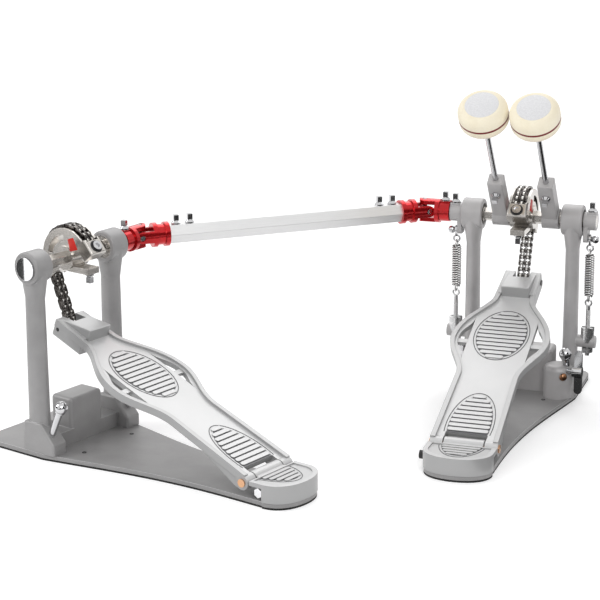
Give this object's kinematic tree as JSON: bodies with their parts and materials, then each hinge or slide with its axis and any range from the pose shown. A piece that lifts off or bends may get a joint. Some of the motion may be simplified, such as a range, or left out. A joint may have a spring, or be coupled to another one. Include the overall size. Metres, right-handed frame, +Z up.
{
  "type": "double bass drum pedal",
  "caption": "Twin foot pedal for a bass drum: chain-driven rocker with sprung felt beaters, joined by a universal-jointed telescoping shaft to a second footboard unit.",
  "frame": {"origin": "On the floor, midway between the main unit's posts, straight under its rocker axis", "axes": "+X along the main rocker axis to the player's right, +Y towards the drum, +Z up"},
  "size_m": [0.5468, 0.4794, 0.3356],
  "materials": {
    "casting": "satin grey paint",
    "board_casting": "bright satin",
    "heel_casting": "satin",
    "rubber": "matt",
    "nickel": "satin nickel",
    "chrome": "polished",
    "chain_steel": "oiled",
    "red_metal": "gloss red anodised",
    "tube_metal": "satin anodised",
    "felt": "pressed felt",
    "steel": "bright",
    "dark_pins": "black oxide"
  },
  "bodies": {
    "main_frame": {"main_base_plate": "casting", "main_base_mat": "rubber", "main_heel_plate": "heel_casting", "main_heel_pins": "dark_pins", "main_left_post": "casting", "main_right_post": "casting", "main_bearings": "steel", "main_cross_tie": "casting", "tension_rods": "steel"},
    "main_board": {"main_footboard": "board_casting", "main_chain_pin": "steel"},
    "main_rocker": {"right_rocker_shaft": "nickel", "main_cam": "nickel", "main_cam_chain": "chain_steel", "right_beater_hub": "casting", "right_spring_lever": "casting", "right_rocker_bolts": "chrome"},
    "right_beater": {"right_beater_rod": "steel", "right_beater_head": "felt"},
    "main_strand": {"main_drive_chain": "chain_steel"},
    "right_spring": {"right_spring": "chrome"},
    "right_swivel": {"right_spring_swivel": "chrome"},
    "left_rocker": {"left_rocker_shaft": "nickel", "left_beater_hub": "casting", "left_spring_lever": "casting", "left_rocker_bolts": "chrome", "main_yoke": "red_metal"},
    "left_beater": {"left_beater_rod": "steel", "left_beater_head": "felt"},
    "left_spring": {"left_spring": "chrome"},
    "left_swivel": {"left_spring_swivel": "chrome"},
    "main_spider": {"main_cross": "steel"},
    "drive_tube": {"tube_yoke": "red_metal", "drive_tube": "tube_metal", "tube_bolts": "chrome"},
    "remote_frame": {"remote_base_plate": "casting", "remote_base_mat": "rubber", "remote_heel_plate": "heel_casting", "remote_heel_pins": "dark_pins", "remote_left_post": "casting", "remote_right_post": "casting", "remote_bearings": "steel", "remote_cross_tie": "casting"},
    "remote_board": {"remote_footboard": "board_casting", "remote_chain_pin": "steel"},
    "remote_rocker": {"remote_rocker_shaft": "nickel", "remote_cam": "nickel", "remote_cam_chain": "chain_steel", "remote_rocker_bolts": "chrome", "remote_yoke": "red_metal"},
    "remote_strand": {"remote_drive_chain": "chain_steel"},
    "remote_spider": {"remote_cross": "steel"},
    "drive_rod": {"drive_rod": "steel", "rod_yoke": "red_metal"},
    "hoop_jaw": {"hoop_jaw": "casting"},
    "hoop_wing_bolt": {"hoop_wing_bolt": "chrome"},
    "main_left_spur": {"main_left_spur": "chrome"},
    "main_right_spur": {"main_right_spur": "chrome"},
    "remote_left_spur": {"remote_left_spur": "chrome"},
    "remote_right_spur": {"remote_right_spur": "chrome"}
  },
  "joints": [
    {"name": "main_rocker", "type": "hinge", "parent": "main_frame", "child": "main_rocker", "pos_m": [0, 0, 0.19], "axis": [-1, 0, 0], "range_deg": [0, 38], "stiffness_Nm_per_rad": 0.8, "springref_deg": -34.38},
    {"name": "main_footboard", "type": "hinge", "parent": "main_frame", "child": "main_board", "pos_m": [0, -0.238, 0.0195], "axis": [-1, 0, 0], "range_deg": [0, 4.77]},
    {"name": "main_chain_swing", "type": "hinge", "parent": "main_rocker", "child": "main_strand", "pos_m": [0, 0.02755, 0.17946], "axis": [-1, 0, 0], "range_deg": [-56.4, 0]},
    {"name": "right_beater_height", "type": "slide", "parent": "main_rocker", "child": "right_beater", "axis": [0, -0.5948, 0.8039], "range_m": [-0.01, 0.012]},
    {"name": "right_spring_swing", "type": "hinge", "parent": "main_frame", "child": "right_spring", "pos_m": [0.0708, 0, 0.10614], "axis": [-1, 0, 0], "range_deg": [-10.27, 0]},
    {"name": "right_spring_stretch", "type": "slide", "parent": "right_spring", "child": "right_swivel", "axis": [0, 0, 1], "range_m": [0, 0.00433], "deforming": ["right_spring"]},
    {"name": "remote_reach", "type": "slide", "parent": "main_frame", "child": "remote_frame", "axis": [-0.7815, -0.6239, 0], "range_m": [0, 0.08]},
    {"name": "remote_rocker", "type": "hinge", "parent": "remote_frame", "child": "remote_rocker", "pos_m": [-0.38187, -0.28603, 0.19], "axis": [-0.3355, -0.9421, 0], "range_deg": [0, 36], "stiffness_Nm_per_rad": 0.8, "springref_deg": -34.38},
    {"name": "remote_footboard", "type": "hinge", "parent": "remote_frame", "child": "remote_board", "pos_m": [-0.15766, -0.36587, 0.0195], "axis": [-0.3355, -0.9421, 0], "range_deg": [0, 4.59]},
    {"name": "remote_chain_swing", "type": "hinge", "parent": "remote_rocker", "child": "remote_strand", "pos_m": [-0.40783, -0.27679, 0.17946], "axis": [-0.3355, -0.9421, 0], "range_deg": [-53.43, 0]},
    {"name": "remote_cross_turn", "type": "hinge", "parent": "remote_rocker", "child": "remote_spider", "pos_m": [-0.34933, -0.19465, 0.19], "axis": [0, 0, 1], "range_deg": [0, 4.35]},
    {"name": "drive_rod_turn", "type": "hinge", "parent": "remote_frame", "child": "drive_rod", "pos_m": [-0.34933, -0.19465, 0.19], "axis": [-0.7815, -0.6239, 0], "range_deg": [0, 32.05]},
    {"name": "drive_tube_turn", "type": "hinge", "parent": "main_frame", "child": "drive_tube", "pos_m": [-0.1055, 0, 0.19], "axis": [-0.7815, -0.6239, 0], "range_deg": [0, 32.05]},
    {"name": "left_rocker", "type": "hinge", "parent": "main_frame", "child": "left_rocker", "pos_m": [0, 0, 0.19], "axis": [-1, 0, 0], "range_deg": [0, 39.28]},
    {"name": "main_cross_turn", "type": "hinge", "parent": "left_rocker", "child": "main_spider", "pos_m": [-0.1055, 0, 0.19], "axis": [0, 0, 1], "range_deg": [-5.53, 0]},
    {"name": "left_beater_height", "type": "slide", "parent": "left_rocker", "child": "left_beater", "axis": [0, -0.5948, 0.8039], "range_m": [-0.01, 0.012]},
    {"name": "left_spring_swing", "type": "hinge", "parent": "main_frame", "child": "left_spring", "pos_m": [-0.0708, 0, 0.10614], "axis": [-1, 0, 0], "range_deg": [-10.28, 0]},
    {"name": "left_spring_stretch", "type": "slide", "parent": "left_spring", "child": "left_swivel", "axis": [0, 0, 1], "range_m": [0, 0.00436], "deforming": ["left_spring"]},
    {"name": "hoop_wing_bolt", "type": "hinge", "parent": "main_frame", "child": "hoop_wing_bolt", "pos_m": [0.0619, -0.03, 0.036], "axis": [1, 0, 0], "range_deg": [-80, 200]},
    {"name": "hoop_jaw", "type": "hinge", "parent": "main_frame", "child": "hoop_jaw", "pos_m": [0, 0.0285, 0.024], "axis": [1, 0, 0], "range_deg": [-8.1, 20.1]},
    {"name": "main_left_spur", "type": "slide", "parent": "main_frame", "child": "main_left_spur", "axis": [0, -0.4226, 0.9063], "range_m": [0, 0.01]},
    {"name": "main_right_spur", "type": "slide", "parent": "main_frame", "child": "main_right_spur", "axis": [0, -0.4226, 0.9063], "range_m": [0, 0.01]},
    {"name": "remote_left_spur", "type": "slide", "parent": "remote_frame", "child": "remote_left_spur", "axis": [0.3981, -0.1418, 0.9063], "range_m": [0, 0.01]},
    {"name": "remote_right_spur", "type": "slide", "parent": "remote_frame", "child": "remote_right_spur", "axis": [0.3981, -0.1418, 0.9063], "range_m": [0, 0.01]}
  ],
  "couplings": [
    {"joint": "main_footboard", "follows": "main_rocker", "ratio": 0.123},
    {"joint": "main_chain_swing", "follows": "main_rocker", "ratio": -1.455},
    {"joint": "right_spring_swing", "follows": "main_rocker", "ratio": -0.265},
    {"joint": "right_spring_stretch", "follows": "main_rocker", "m_per_rad": 0.0064},
    {"joint": "remote_footboard", "follows": "remote_rocker", "ratio": 0.125},
    {"joint": "remote_chain_swing", "follows": "remote_rocker", "ratio": -1.455},
    {"joint": "remote_cross_turn", "follows": "remote_rocker", "ratio": 0.1185},
    {"joint": "drive_rod_turn", "follows": "remote_rocker", "ratio": 0.8727},
    {"joint": "drive_tube_turn", "follows": "remote_rocker", "ratio": 0.8727},
    {"joint": "left_rocker", "follows": "remote_rocker", "ratio": 1.0697},
    {"joint": "main_cross_turn", "follows": "remote_rocker", "ratio": -0.1505},
    {"joint": "left_spring_swing", "follows": "remote_rocker", "ratio": -0.28},
    {"joint": "left_spring_stretch", "follows": "remote_rocker", "m_per_rad": 0.0068},
    {"joint": "hoop_jaw", "follows": "hoop_wing_bolt", "ratio": 0.1}
  ]
}
